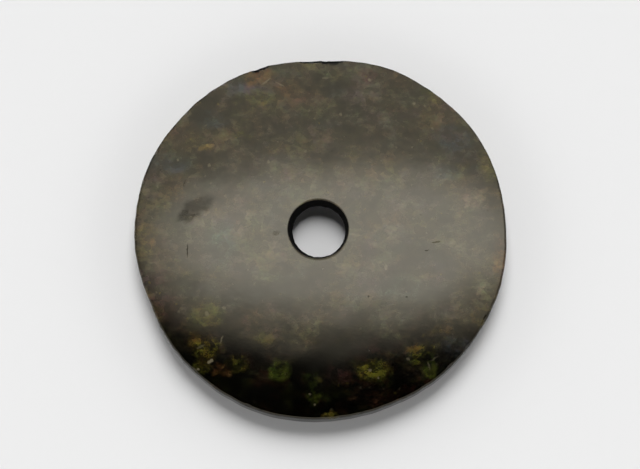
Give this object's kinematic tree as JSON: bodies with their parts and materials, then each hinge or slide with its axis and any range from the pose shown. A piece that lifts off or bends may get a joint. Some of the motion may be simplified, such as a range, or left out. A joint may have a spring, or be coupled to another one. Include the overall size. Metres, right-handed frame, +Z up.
{
  "type": "jade bi disc",
  "caption": "Flat round disc of dark polished nephrite with a hole drilled through it from both faces, an uneven hand-ground outline and a chipped edge.",
  "frame": {"origin": "middle of the disc's box, on the underside it lies on", "axes": "+Z up through the disc's thickness, +Y towards the nicked side of the edge, which is the far side in the picture"},
  "size_m": [0.1994, 0.1988, 0.0105],
  "materials": {
    "nephrite": "worn polish, mottled dark olive with green, amber and russet clouds"
  },
  "bodies": {
    "root": {"jade_disc": "nephrite"}
  },
  "joints": []
}
